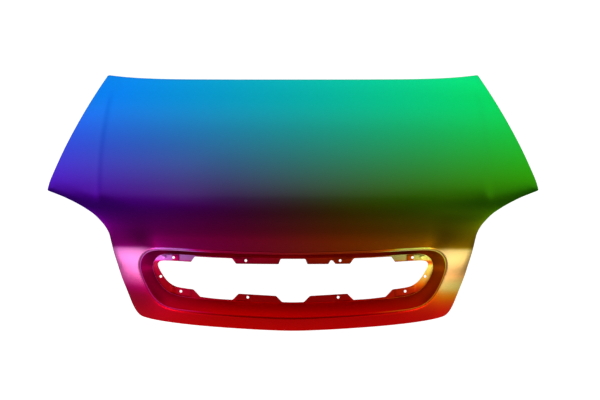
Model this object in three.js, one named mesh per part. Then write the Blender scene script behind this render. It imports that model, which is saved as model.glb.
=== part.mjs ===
// A car bonnet: a pressed steel outer skin with a recessed grille opening in its nose, hemmed round a pressed
// inner frame, with hinge reinforcements and weld nuts, mastic pads and the latch striker.
//
// Millimetres. +X is the car's left, +Y runs to the rear, +Z is up, and the nose faces -Y.
// The origin is midway between the two hinge pads.
//
// The panel is laid out on a drafting plane tilted back from the vertical, seen from a fixed eye point square to it.
// A layout point (u, v) in that plane is carried along its sight line onto the outer surface H(u, v), so the outline,
// the rim and the flanges keep their drawn shape whatever the section of the panel is.
import * as THREE from "three";

// ---------------------------------------------------------------- driving dimensions
const SCALE = 2.95; // mm of drafting plane for one unit of the layout tables
const MID = [0, 200]; // layout point that lies on the eye's axis
const EYE = 4800; // distance of the eye point from the drafting plane
const TILT = (36 * Math.PI) / 180; // how far the drafting plane leans back from the vertical

const SKIN_T = 0.8; // outer skin sheet
const FRAME_T = 0.7; // inner frame sheet
const HEM_R = 1.5; // outer radius of the hem fold
const HEM_W = 13; // reach of the hem's return flange
const HEM_LAND = 16; // width of the flat land along the edge
const HEM_GAP = 0.35; // clearance between the sheets in the hem
const RECESS = 45; // depth of the grille recess, along the sight line
const CHANNEL = 28; // depth of the frame's channels below the outer surface
const MASTIC_GAP = 3.0; // gap between the skin and the frame's bonding flanges
const TAB_HOLE_R = 4; // screw holes in the grille tabs
const BOLT_R = 4.5; // clearance holes in the hinge pads
const PAD_X = 468; // hinge pad centre, to each side
const PAD_SIZE = [92, 50]; // flat of the hinge pad

// slope of the outer surface on the centre line, in degrees from the horizontal, at layout heights v
const SLOPE = [
  [-400, 70.5], [-345, 69.5], [-250, 66.5], [-175, 62], [-130, 56.5], [-90, 49], [-50, 41], [-10, 34],
  [40, 29], [100, 25.5], [200, 22], [300, 20], [400, 18.5],
];
// side fall of the surface: -(a2 (u/700)^2 + a4 (u/700)^4) at layout heights v
const FALL = [
  [-400, 296, 165], [-345, 262, 148], [-300, 236, 132], [-250, 210, 115], [-190, 184, 98], [-90, 158, 70],
  [20, 116, 40], [110, 95, 35], [230, 82, 42], [400, 72, 55],
];
const SWAGE = { drop: 2.6, half: 11, u0: 578.5, bow: 0.00044, v0: 30 }; // shallow swage line along each side

// half outline, from the middle of the lip round to the middle of the rear edge; "c" marks a sharp corner
const OUTLINE = [
  [0, 331.0], [23.5, 330.4], [50, 329.0], [86, 326.4], [115, 323.4], [135, 320.4], [146.5, 317.8], [152.5, 315.4],
  [156.2, 311.6], [159.6, 306.0], [163.2, 297.6], [166.2, 290], [171, 278], [175.6, 264], [179.4, 252], [182.4, 240],
  [184.2, 233.4], [188, 226.4], [193.2, 220.2], [199.6, 214], [212, 205.8], [227, 198], [238.2, 193.4],
  [245.9, 190.4, "c"],
  [243.4, 181.5], [238.6, 170], [229.4, 150], [219, 130], [207.6, 110], [195.4, 90.5],
  [184.9, 74.9, "c"],
  [166, 76.9], [147, 78.1], [120, 78.9], [80, 79.2], [40, 79.3], [0, 79.3],
];
// half of the grille recess, from the middle of the top to the middle of the bottom:
// rim x, y, foot of the wall x, y, edge of the flange x, y
const GRILLE = [
  [0, 254.6, 0, 258.0, 0, 259.0], [12.6, 254.5, 12.2, 258.0, 12.4, 259.0], [15, 254.45, 14.6, 258.0, 14.4, 264.2],
  [36.5, 253.9, 35.6, 257.8, 35.5, 264.1], [58.5, 253.2, 57.2, 257.5, 57, 263.8], [62.6, 253.05, 61, 257.4, 61, 258.4],
  [81, 252.25, 79, 256.7, 79, 257.7], [101.5, 251.3, 98.3, 255.5, 98.3, 256.6], [105.5, 251.05, 101.8, 255.2, 102, 261.9],
  [120.5, 250.3, 114.5, 254.3, 113.2, 261.2], [133, 249.9, 125, 253.9, 122, 260.7], [141.5, 250.3, 131.9, 254.4, 129.4, 260.5],
  [147.6, 252.6, 136.8, 257.2, 133.4, 261.3], [151.7, 257, 139.4, 261.4, 135.2, 263.6], [153.5, 263, 140.4, 266.4, 134.6, 267],
  [152.9, 270, 139.5, 271.8, 132.4, 271.2], [150.5, 277.4, 137, 277.5, 129.6, 275.9], [147, 285.6, 133.3, 283.7, 126.2, 280.4],
  [142.7, 293.8, 128, 289.5, 121.6, 284.4], [137, 301, 121.8, 293.5, 115.6, 287], [129.6, 306.1, 114.5, 295.9, 108.2, 288.3],
  [119.5, 309.2, 106, 297.1, 99.6, 289.4], [108.5, 310.8, 97, 298.2, 92.6, 296.8], [88, 312.9, 77.5, 299.8, 77, 298.8],
  [69.5, 314.2, 61, 301.0, 60.6, 299.8], [63, 314.7, 55, 301.4, 54.4, 293.7], [41, 316, 35.9, 302.3, 35.5, 294.8],
  [19.5, 317, 17, 302.9, 16.9, 295.9], [12.6, 317.2, 10.9, 303.1, 10.8, 302.1], [0, 317.4, 0, 303.3, 0, 302.4],
];
// screw holes in the flange, x y radius, both sides alike
const HOLES = [[47.2, 260.6, TAB_HOLE_R], [119.5, 257.5, TAB_HOLE_R], [132.2, 276.4, TAB_HOLE_R], [112.2, 291.3, TAB_HOLE_R], [45.2, 297.3, TAB_HOLE_R]];
// notch in the upper tab on the car's left only
const NOTCH = [[35.4, 264.1], [37.6, 260.4], [39.6, 260.4], [42.4, 264.0]];

// frame cut-outs, closed polygons with their corner radii, on the +X side or across the middle
const CUT_MID = { pts: [[-62, 104], [62, 104], [37, 190], [-37, 190]], r: 17 };
const CUT_REAR = { pts: [[90, 106], [126, 106], [126, 150], [76, 158]], r: 13 };
const CUT_OUTER = { pts: [[152, 123], [189, 121], [203, 152], [152, 150]], r: 12 };
const CUT_SIDE = { pts: [[70, 184], [130, 176], [204, 178], [188, 195], [163, 213], [62, 215]], r: 12 };

// ---------------------------------------------------------------- curves
// natural cubic spline through knots [x, y...]; returns x -> y of the given column
function spline(knots, col) {
  const n = knots.length, x = knots.map((k) => k[0]), y = knots.map((k) => k[col]);
  const m = new Array(n).fill(0), c = new Array(n).fill(0), d = new Array(n).fill(0);
  for (let i = 1; i < n - 1; i++) {
    const a = x[i] - x[i - 1], b = x[i + 1] - x[i], p = 2 * (a + b) - a * c[i - 1];
    c[i] = b / p;
    d[i] = (6 * ((y[i + 1] - y[i]) / b - (y[i] - y[i - 1]) / a) - a * d[i - 1]) / p;
  }
  for (let i = n - 2; i > 0; i--) m[i] = d[i] - c[i] * m[i + 1];
  return (t) => {
    let i = 0;
    while (i < n - 2 && t > x[i + 1]) i++;
    const h = x[i + 1] - x[i], a = (x[i + 1] - t) / h, b = (t - x[i]) / h;
    return a * y[i] + b * y[i + 1] + (((a * a * a - a) * m[i] + (b * b * b - b) * m[i + 1]) * h * h) / 6;
  };
}
const slope = spline(SLOPE, 1), fall2 = spline(FALL, 1), fall4 = spline(FALL, 2);
const smooth = (a, b, t) => { const s = Math.min(1, Math.max(0, (t - a) / (b - a))); return s * s * (3 - 2 * s); };

// height of the centre line over the drafting plane, by Simpson steps of 5 mm
const V_LO = -420, V_STEP = 5, V_N = 168;
const centreTable = [0];
{
  const f = (v) => -1 / Math.tan(TILT + (slope(v) * Math.PI) / 180);
  for (let i = 0; i < V_N; i++) {
    const v = V_LO + i * V_STEP;
    centreTable.push(centreTable[i] + (V_STEP / 6) * (f(v) + 4 * f(v + V_STEP / 2) + f(v + V_STEP)));
  }
}
const centreKnots = centreTable.map((h, i) => [V_LO + i * V_STEP, h]);
const centreRaw = spline(centreKnots, 1), CENTRE_0 = centreRaw(-120);

// the outer surface over the drafting plane
function H(u, v) {
  const q = (u / 700) ** 2;
  const line = SWAGE.u0 - SWAGE.bow * (v - SWAGE.v0) ** 2;
  const fade = smooth(-25, 45, v) * (1 - smooth(300, 352, v));
  const step = SWAGE.drop * fade * smooth(-SWAGE.half, SWAGE.half, Math.abs(u) - line);
  return centreRaw(v) - CENTRE_0 - fall2(v) * q - fall4(v) * q * q - step;
}
const SIN = Math.sin(TILT), COS = Math.cos(TILT);
const shift = new THREE.Vector3();
function P(u, v, depth = 0) {
  const h = H(u, v) - depth, k = 1 - h / EYE;
  return new THREE.Vector3(u * k, v * k * SIN - h * COS, v * k * COS + h * SIN).sub(shift);
}
const tangents = (u, v) => [P(u + 1, v).sub(P(u - 1, v)).multiplyScalar(0.5), P(u, v + 1).sub(P(u, v - 1)).multiplyScalar(0.5)];
const normalAt = (u, v) => { const [a, b] = tangents(u, v); return a.cross(b).normalize(); };
const lay = (x, y) => [(x - MID[0]) * SCALE, (MID[1] - y) * SCALE]; // layout units to plane mm

// ---------------------------------------------------------------- 2-D loops
// points along a smooth run through pts, spaced about step (mm), ends included
function run(pts, step) {
  const curve = new THREE.CatmullRomCurve3(pts.map((p) => new THREE.Vector3(p[0], p[1], 0)), false, "centripetal");
  const n = Math.max(1, Math.round(curve.getLength() / step));
  return curve.getSpacedPoints(n).map((p) => [p.x, p.y]);
}
// the closed outline, counter-clockwise, without its last point
function outlineLoop() {
  const half = OUTLINE.map(([x, y]) => lay(x, y));
  const tip = OUTLINE.findIndex((p) => p[2]), corner = OUTLINE.findIndex((p, i) => p[2] && i > tip);
  const nose = run([[-half[1][0], half[1][1]], ...half.slice(0, tip + 1)], 31).filter((p) => p[0] > 14);
  const right = [
    [0, half[0][1]], ...nose.slice(0, -1),
    ...run(half.slice(tip, corner + 1), 45).slice(0, -1),
    ...run(half.slice(corner), 46).slice(0, -1),
    half[half.length - 1],
  ];
  const left = right.slice(1, -1).reverse().map(([u, v]) => [-u, v]);
  return [...right, ...left];
}
// inward mitred normals of a closed counter-clockwise loop
function inward(loop, most = 1.7) {
  const n = loop.length;
  return loop.map((p, i) => {
    const a = loop[(i + n - 1) % n], b = loop[(i + 1) % n];
    const e1 = [p[0] - a[0], p[1] - a[1]], e2 = [b[0] - p[0], b[1] - p[1]];
    const l1 = Math.hypot(...e1), l2 = Math.hypot(...e2);
    const n1 = [-e1[1] / l1, e1[0] / l1], n2 = [-e2[1] / l2, e2[0] / l2];
    const m = [n1[0] + n2[0], n1[1] + n2[1]], l = Math.hypot(...m);
    const cos = (n1[0] * m[0] + n1[1] * m[1]) / l;
    return [m[0] / l, m[1] / l, Math.min(most, 1 / cos)];
  });
}
const inset = (loop, dist) => inward(loop).map(([x, y, k], i) => [loop[i][0] + x * k * dist, loop[i][1] + y * k * dist]);
// closed polygon with rounded corners, counter-clockwise
function roundedPolygon(pts, r, n = 3) {
  const out = [], m = pts.length;
  for (let i = 0; i < m; i++) {
    const p = pts[i], a = pts[(i + m - 1) % m], b = pts[(i + 1) % m];
    const ua = [a[0] - p[0], a[1] - p[1]], ub = [b[0] - p[0], b[1] - p[1]];
    const la = Math.hypot(...ua), lb = Math.hypot(...ub);
    const half = Math.acos((ua[0] * ub[0] + ua[1] * ub[1]) / (la * lb)) / 2;
    const cut = Math.min(r / Math.tan(half), la * 0.45, lb * 0.45);
    const s = [p[0] + (ua[0] / la) * cut, p[1] + (ua[1] / la) * cut], e = [p[0] + (ub[0] / lb) * cut, p[1] + (ub[1] / lb) * cut];
    for (let k = 0; k <= n; k++) {
      const t = k / n;
      out.push([0, 1].map((d) => (1 - t) * (1 - t) * s[d] + 2 * t * (1 - t) * p[d] + t * t * e[d]));
    }
    const len = Math.hypot(b[0] - p[0], b[1] - p[1]) - 2 * cut, parts = Math.max(1, Math.round(len / 70));
    const nextCut = [b[0] - (ub[0] / lb) * cut, b[1] - (ub[1] / lb) * cut];
    for (let k = 1; k < parts; k++) out.push([0, 1].map((d) => e[d] + ((nextCut[d] - e[d]) * k) / parts));
  }
  return out;
}
const mirror = (loop) => loop.map(([u, v]) => [-u, v]).reverse();
const area = (l) => l.reduce((s, p, i) => { const q = l[(i + 1) % l.length]; return s + p[0] * q[1] - q[0] * p[1]; }, 0) / 2;
const circle = (x, y, r, n) => Array.from({ length: n }, (_, i) => [x + r * Math.cos((2 * Math.PI * i) / n), y + r * Math.sin((2 * Math.PI * i) / n)]);
function inside(p, loop) {
  let c = false;
  for (let i = 0, j = loop.length - 1; i < loop.length; j = i++) {
    const a = loop[i], b = loop[j];
    if (a[1] > p[1] !== b[1] > p[1] && p[0] < ((b[0] - a[0]) * (p[1] - a[1])) / (b[1] - a[1]) + a[0]) c = !c;
  }
  return c;
}
function clearOf(p, loop) {
  let d = Infinity;
  for (let i = 0; i < loop.length; i++) {
    const a = loop[i], b = loop[(i + 1) % loop.length], e = [b[0] - a[0], b[1] - a[1]];
    const t = Math.min(1, Math.max(0, ((p[0] - a[0]) * e[0] + (p[1] - a[1]) * e[1]) / (e[0] ** 2 + e[1] ** 2)));
    d = Math.min(d, Math.hypot(p[0] - a[0] - t * e[0], p[1] - a[1] - t * e[1]));
  }
  return d;
}
// triangles over a region: ear clipping, extra inner points, then edge flips until every free edge is Delaunay
function mesh2d(contour, holes, extra = []) {
  const pts = [contour, ...holes].flat();
  const v2 = (l) => l.map(([x, y]) => new THREE.Vector2(x, y));
  const tris = THREE.ShapeUtils.triangulateShape(v2(contour), holes.map(v2)).map((t) => [...t]);
  const cross = (a, b, c) => (pts[b][0] - pts[a][0]) * (pts[c][1] - pts[a][1]) - (pts[b][1] - pts[a][1]) * (pts[c][0] - pts[a][0]);
  for (const t of tris) if (cross(...t) < 0) t.reverse();
  for (const p of extra) {
    const i = pts.push(p) - 1;
    const at = tris.findIndex(([a, b, c]) => cross(a, b, i) > 1e-6 && cross(b, c, i) > 1e-6 && cross(c, a, i) > 1e-6);
    if (at < 0) { pts.pop(); continue; }
    const [a, b, c] = tris[at];
    tris.splice(at, 1, [a, b, i], [b, c, i], [c, a, i]);
  }
  const fixed = new Set();
  let base = 0;
  for (const l of [contour, ...holes]) {
    l.forEach((_, i) => fixed.add([base + i, base + ((i + 1) % l.length)].sort((a, b) => a - b).join()));
    base += l.length;
  }
  const inCircle = (a, b, c, d) => {
    const m = [a, b, c].map((i) => { const x = pts[i][0] - pts[d][0], y = pts[i][1] - pts[d][1]; return [x, y, x * x + y * y]; });
    return m[0][0] * (m[1][1] * m[2][2] - m[1][2] * m[2][1]) - m[0][1] * (m[1][0] * m[2][2] - m[1][2] * m[2][0]) + m[0][2] * (m[1][0] * m[2][1] - m[1][1] * m[2][0]);
  };
  for (let pass = 0; pass < 60; pass++) {
    let flips = 0;
    const owner = new Map();
    tris.forEach((t, ti) => [0, 1, 2].forEach((k) => owner.set(t[k] + "," + t[(k + 1) % 3], ti)));
    const touched = new Set();
    for (const [key, ti] of owner) {
      const [a, b] = key.split(",").map(Number);
      if (a > b || fixed.has(a + "," + b)) continue;
      const tj = owner.get(b + "," + a);
      if (tj === undefined || touched.has(ti) || touched.has(tj)) continue;
      const c = tris[ti].find((x) => x !== a && x !== b), d = tris[tj].find((x) => x !== a && x !== b);
      if (inCircle(a, b, c, d) > 1e-3 && cross(c, d, b) > 1e-6 && cross(d, c, a) > 1e-6) {
        tris[ti] = [c, d, b]; tris[tj] = [d, c, a];
        touched.add(ti); touched.add(tj); flips++;
      }
    }
    if (!flips) break;
  }
  return { pts, tris };
}

// ---------------------------------------------------------------- sheets
class Sheet {
  constructor() { this.v = []; this.t = []; }
  ring(points) { const s = this.v.length; this.v.push(...points); return { s, n: points.length }; }
  // strip from an outer ring to the next ring inside it, both counter-clockwise
  strip(a, b) {
    for (let i = 0; i < a.n; i++) {
      const j = (i + 1) % a.n, p = a.s + i, q = a.s + j, r = b.s + j, s = b.s + i;
      if (this.v[p].distanceToSquared(this.v[r]) <= this.v[q].distanceToSquared(this.v[s])) this.t.push([p, q, r], [p, r, s]);
      else this.t.push([p, q, s], [q, r, s]);
    }
  }
  // a 2-D region whose loops are rings already placed; lift gives the inner points their place
  region(contour, ringC, holes, ringsH, extra, lift) {
    const m = mesh2d(contour, holes, extra);
    const map = [];
    [ringC, ...ringsH].forEach((r) => { for (let i = 0; i < r.n; i++) map.push(r.s + i); });
    for (let i = map.length; i < m.pts.length; i++) map.push(this.v.push(lift(...m.pts[i])) - 1);
    for (const t of m.tris) this.t.push(t.map((i) => map[i]));
  }
  // closed solid: the sheet, a copy at thickness t behind it, and walls along every free edge
  thicken(t) {
    const n = this.v.length, normals = this.v.map(() => new THREE.Vector3()), faces = [];
    const at = this.v.map(() => []);
    this.t.forEach((tri, i) => {
      const [a, b, c] = tri.map((k) => this.v[k]);
      const f = b.clone().sub(a).cross(c.clone().sub(a)).normalize();
      faces.push(f);
      tri.forEach((k, j) => {
        const p = this.v[k], q = this.v[tri[(j + 1) % 3]], r = this.v[tri[(j + 2) % 3]];
        normals[k].addScaledVector(f, q.clone().sub(p).angleTo(r.clone().sub(p)));
        at[k].push(i);
      });
    });
    const back = this.v.map((p, k) => {
      const m = normals[k].normalize();
      const cos = at[k].reduce((s, i) => Math.min(s, faces[i].dot(m)), 1);
      return p.clone().addScaledVector(m, -t / Math.max(0.6, cos));
    });
    const out = [...this.v, ...back], tris = [...this.t, ...this.t.map(([a, b, c]) => [a + n, c + n, b + n])];
    const edges = new Set();
    this.t.forEach((tri) => tri.forEach((a, j) => edges.add(a + "," + tri[(j + 1) % 3])));
    for (const e of edges) {
      const [a, b] = e.split(",").map(Number);
      if (!edges.has(b + "," + a)) tris.push([a, a + n, b + n], [a, b + n, b]);
    }
    const g = new THREE.BufferGeometry();
    g.setAttribute("position", new THREE.BufferAttribute(new Float32Array(out.flatMap((p) => [p.x, p.y, p.z])), 3));
    g.setIndex(tris.flat());
    g.computeVertexNormals();
    return g;
  }
}

// ---------------------------------------------------------------- layout shared by skin and frame
const edge2 = outlineLoop();
const edgeIn = inward(edge2);
const land2 = inset(edge2, HEM_LAND);
const sidePads = [1, -1];

// hinge pad frame: centre on the channel floor, axes along the panel and its normal
const PAD_V = lay(0, 97.5)[1];
function padFrame(side) {
  const u = side * PAD_X, n = normalAt(u, PAD_V), [tu] = tangents(u, PAD_V);
  const x = tu.clone().addScaledVector(n, -tu.dot(n)).normalize(), y = n.clone().cross(x);
  return { c: P(u, PAD_V).addScaledVector(n, -(CHANNEL * 0.98 + 3)), x, y, n, u };
}
{
  const a = padFrame(1), b = padFrame(-1);
  shift.copy(a.c.clone().add(b.c).multiplyScalar(0.5));
}

// edge stations: the fold line and the land behind it, and the panel normal there
const stations = edge2.map(([u, v], i) => {
  const n = normalAt(u, v), [tu, tv] = tangents(u, v), [nx, ny, k] = edgeIn[i];
  const inn = tu.clone().multiplyScalar(nx).addScaledVector(tv, ny);
  inn.addScaledVector(n, -inn.dot(n)).normalize();
  const p = P(u, v);
  return { p, n, inn, k, fold: p.clone().addScaledVector(inn, HEM_R * k), land: P(...land2[i]) };
});
// a point on the land, a mm in from the edge and b mm along the normal
const onLand = (s, a, b) => s.fold.clone().lerp(s.land, (a - HEM_R) / (HEM_LAND - HEM_R)).addScaledVector(s.n, b);

// grille loops, counter-clockwise, starting at the middle of the bottom
const grilleHalf = [...GRILLE].reverse();
const grilleLoop = (ix) => {
  const right = grilleHalf.map((r) => lay(r[ix], r[ix + 1]));
  return [...right, ...right.slice(1, -1).reverse().map(([u, v]) => [-u, v])];
};
const rim2 = grilleLoop(0), foot2 = grilleLoop(2), lip2 = grilleLoop(4);
const mix = (a, b, f) => a.map((p, i) => [p[0] + (b[i][0] - p[0]) * f, p[1] + (b[i][1] - p[1]) * f]);
const holes2 = HOLES.flatMap(([x, y, r]) => [1, -1].map((s) => { const [u, v] = lay(x, y); return circle(s * u, v, r, 10); }));

// ---------------------------------------------------------------- outer skin
function outerSkin() {
  const s = new Sheet(), R = HEM_R;
  const rings = [
    s.ring(stations.map((q) => onLand(q, HEM_W, -2 * R))),
    s.ring(stations.map((q) => onLand(q, R, -2 * R))),
    s.ring(stations.map((q) => q.p.clone().addScaledVector(q.inn, R * (1 - Math.SQRT1_2) * q.k).addScaledVector(q.n, -R * (1 + Math.SQRT1_2)))),
    s.ring(stations.map((q) => q.p.clone().addScaledVector(q.inn, R * (1 - Math.SQRT1_2) * q.k).addScaledVector(q.n, -R * (1 - Math.SQRT1_2)))),
    s.ring(stations.map((q) => q.fold.clone())),
    s.ring(stations.map((q) => q.land.clone())),
  ];
  for (let i = 0; i + 1 < rings.length; i++) s.strip(rings[i], rings[i + 1]);

  // recess: rim radius, drafted wall and foot radius
  const levels = [[-5, 0, 0], [0, 0.0, 1.6], [0, 0.12, 8], [0, 0.9, RECESS - 2.5], [0, 1, RECESS]];
  const g2 = levels.map(([out, f]) => mix(inset(rim2, out), foot2, f));
  const g = g2.map((l, i) => s.ring(l.map(([u, v]) => P(u, v, levels[i][2]))));
  for (let i = 0; i + 1 < g.length; i++) s.strip(g[i], g[i + 1]);

  // the main sheet between the land and the rim
  const extra = [], pitch = 50;
  for (let v = -390, odd = 0; v < 380; v += v > -175 && v < 25 ? 25 : 44, odd = 1 - odd) {
    for (let i = -16; i <= 16; i++) {
      const p = [(i + odd / 2) * pitch, v];
      if (inside(p, land2) && !inside(p, g2[0]) && clearOf(p, land2) > 20 && clearOf(p, g2[0]) > 14) extra.push(p);
    }
  }
  s.region(land2, rings.at(-1), [g2[0]], [g[0]], extra, (u, v) => P(u, v));

  // the flange with its screw holes and the notch
  const lip = [...lip2];
  const notch = NOTCH.map(([x, y]) => lay(x, y));
  const k = lip.findIndex((p) => Math.abs(p[0] - lay(35.5, 0)[0]) < 0.5 && p[1] < lay(0, 262)[1] && p[1] > lay(0, 266)[1]);
  lip.splice(k, 1, ...notch.reverse());
  const ringLip = s.ring(lip.map(([u, v]) => P(u, v, RECESS)));
  const ringsH = holes2.map((l) => s.ring(l.map(([u, v]) => P(u, v, RECESS))));
  s.region(g2.at(-1), g.at(-1), [lip, ...holes2], [ringLip, ...ringsH], [], (u, v) => P(u, v, RECESS));
  return s.thicken(SKIN_T);
}

// ---------------------------------------------------------------- inner frame
const cutLoops = [
  roundedPolygon(CUT_MID.pts.map(([x, y]) => lay(x, y)).reverse(), CUT_MID.r * SCALE),
  ...[CUT_REAR, CUT_OUTER, CUT_SIDE].flatMap((c) => {
    const l = roundedPolygon(c.pts.map(([x, y]) => lay(x, y)).reverse(), c.r * SCALE);
    return [l, mirror(l)];
  }),
].map((l) => (area(l) < 0 ? [...l].reverse() : l));
const padRect = (w, h, r) => roundedPolygon([[-w / 2, -h / 2], [w / 2, -h / 2], [w / 2, h / 2], [-w / 2, h / 2]], r, 2);
const PAD_HOLES = [-27, 27];

function innerFrame() {
  const s = new Sheet(), top = SKIN_T + HEM_GAP;
  const edge = [
    s.ring(stations.map((q) => onLand(q, 2.4, -top))),
    s.ring(stations.map((q) => onLand(q, 13.6, -top))),
  ];
  const e3 = inset(edge2, 27);
  const beam = (v) => CHANNEL + 12 * smooth(-250, -330, v); // the beam under the grille is deeper
  edge.push(s.ring(stations.map((q) => onLand(q, 17.5, -top - 4))));
  edge.push(s.ring(e3.map(([u, v]) => P(u, v, beam(v)))));
  for (let i = 0; i + 1 < edge.length; i++) s.strip(edge[i], edge[i + 1]);

  const q2 = [inset(rim2, -4.5), mix(rim2, foot2, 0.4), mix(foot2, rim2, 0.06), mix(foot2, lip2, 0.12)];
  const depths = [(v) => beam(v) + 6, () => 51, () => RECESS + 2.1, () => RECESS + 2.1];
  const q = q2.map((l, i) => s.ring(l.map(([u, v]) => P(u, v, depths[i](v)))));
  for (let i = 0; i + 1 < q.length; i++) s.strip(q[i], q[i + 1]);

  // cut-outs: a bonding flange near the skin, then a wall down to the channel floor
  const cuts = cutLoops.map((l) => {
    const l1 = inset(l, -13), l2 = inset(l, -25), d = SKIN_T + MASTIC_GAP;
    const r0 = s.ring(l.map(([u, v]) => P(u, v, d))), r1 = s.ring(l1.map(([u, v]) => P(u, v, d))), r2 = s.ring(l2.map(([u, v]) => P(u, v, CHANNEL)));
    s.strip(r2, r1); s.strip(r1, r0);
    return [l2, r2];
  });
  // hinge pads: flat, with two bolt holes
  const pads = sidePads.map((side) => {
    const f = padFrame(side);
    const place = ([a, b]) => f.c.clone().addScaledVector(f.x, a).addScaledVector(f.y, b);
    const inner = padRect(...PAD_SIZE, 8), outer = padRect(PAD_SIZE[0] + 14, PAD_SIZE[1] + 14, 13);
    const outer2 = outer.map(([a, b]) => [f.u + a * 0.97, PAD_V + b * 0.86]);
    const r1 = s.ring(inner.map(place)), r0 = s.ring(outer2.map(([u, v]) => P(u, v, CHANNEL)));
    s.strip(r0, r1);
    const bolts = PAD_HOLES.map((x) => circle(x, 0, BOLT_R, 12));
    const rb = bolts.map((l) => s.ring(l.map(place)));
    s.region(inner, r1, bolts, rb, [], () => f.c);
    return [outer2, r0];
  });
  const holes = [...cuts, ...pads];
  s.region(e3, edge.at(-1), [q2[0], ...holes.map((h) => h[0])], [q[0], ...holes.map((h) => h[1])], [], (u, v) => P(u, v, CHANNEL));
  return s.thicken(FRAME_T);
}

// ---------------------------------------------------------------- materials
const steel = (color, roughness, metalness) => new THREE.MeshStandardMaterial({ color, roughness, metalness });
const paint = steel(0x7a1230, 0.35, 0.4), primer = steel(0x35343a, 0.5, 0.2), zinc = steel(0xb4b8bb, 0.38, 0.9), mastic = steel(0x2a2622, 0.85, 0);

const bonnet = new THREE.Group();
function add(name, geometry, material, matrix) {
  const m = new THREE.Mesh(geometry, material);
  m.name = name;
  if (matrix) { matrix.decompose(m.position, m.quaternion, m.scale); }
  bonnet.add(m);
  return m;
}
const basis = (x, y, z, p) => new THREE.Matrix4().makeBasis(x, y, z).setPosition(p);

add("outer_skin", outerSkin(), paint);
add("inner_frame", innerFrame(), primer);

// plate outline with holes, extruded
function plate(w, h, r, thick, holes) {
  const shape = new THREE.Shape(padRect(w, h, r).map(([x, y]) => new THREE.Vector2(x, y)));
  for (const [x, y, rad, n] of holes) shape.holes.push(new THREE.Path(circle(x, y, rad, n).map(([a, b]) => new THREE.Vector2(a, b))));
  return new THREE.ExtrudeGeometry(shape, { depth: thick, bevelEnabled: false, curveSegments: 1 });
}
function weldNut(across, high, bore) {
  const shape = new THREE.Shape(circle(0, 0, across / 2 / Math.cos(Math.PI / 6), 6).map(([a, b]) => new THREE.Vector2(a, b)));
  shape.holes.push(new THREE.Path(circle(0, 0, bore, 12).map(([a, b]) => new THREE.Vector2(a, b))));
  return new THREE.ExtrudeGeometry(shape, { depth: high, bevelEnabled: false, curveSegments: 1 });
}
// hinge reinforcements and their weld nuts, inside the box section above each pad
for (const side of sidePads) {
  const f = padFrame(side), word = side > 0 ? "left" : "right";
  add("hinge_reinforcement_" + word, plate(82, 42, 6, 2, PAD_HOLES.map((x) => [x, 0, BOLT_R, 12])), zinc, basis(f.x, f.y, f.n, f.c.clone().addScaledVector(f.n, 0.35)));
  for (const x of PAD_HOLES) {
    const place = x * side > 0 ? "outer" : "inner";
    add(`hinge_weld_nut_${word}_${place}`, weldNut(13, 6.5, 3.4), zinc, basis(f.x, f.y, f.n, f.c.clone().addScaledVector(f.x, x).addScaledVector(f.n, 2.7)));
  }
}

// latch striker behind the beam under the grille: a bracket with a bent rod
{
  const v = lay(0, 312)[1];
  const floor = P(0, v, 51 + 1.6), n = normalAt(0, v).negate(); // n points back, away from the beam
  const x = new THREE.Vector3(1, 0, 0), y = n.clone().cross(x).normalize(); // y runs down the beam
  const base = floor.clone().addScaledVector(n, 1.2);
  add("striker_bracket", plate(86, 30, 6, 2.5, [[-34, 0, 3.4, 10], [34, 0, 3.4, 10]]), zinc, basis(x, y, n, base));
  for (const s of [1, -1]) {
    add("striker_screw_" + (s > 0 ? "left" : "right"), (() => {
      const profile = [[0, 0], [6.5, 0], [6.5, 3.2], [5.2, 4.6], [0, 4.6]].map(([a, b]) => new THREE.Vector2(a, b));
      return new THREE.LatheGeometry(profile, 12);
    })(), zinc, basis(x, n, y.clone().negate(), base.clone().addScaledVector(n, 2.8).addScaledVector(x, 34 * s)));
  }
  const start = base.clone().addScaledVector(n, 2.5 + 0.6 + 4), leg = 19;
  const at = (dx, back, low) => start.clone().addScaledVector(x, dx).addScaledVector(n, back).addScaledVector(y, low);
  const pts = [at(-leg, 0, -13), at(-leg, 0, 0), at(-leg, 6, 10), at(-leg, 16, 20), at(-leg + 2.5, 24, 27), at(-leg + 9, 28, 31),
    at(0, 29, 32), at(leg - 9, 28, 31), at(leg - 2.5, 24, 27), at(leg, 16, 20), at(leg, 6, 10), at(leg, 0, 0), at(leg, 0, -13)];
  const curve = new THREE.CatmullRomCurve3(pts, false, "centripetal");
  const section = new THREE.Shape(circle(0, 0, 4, 10).map(([a, b]) => new THREE.Vector2(a, b)));
  add("striker_loop", new THREE.ExtrudeGeometry(section, { steps: 26, extrudePath: curve, bevelEnabled: false }), zinc);
}

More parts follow.
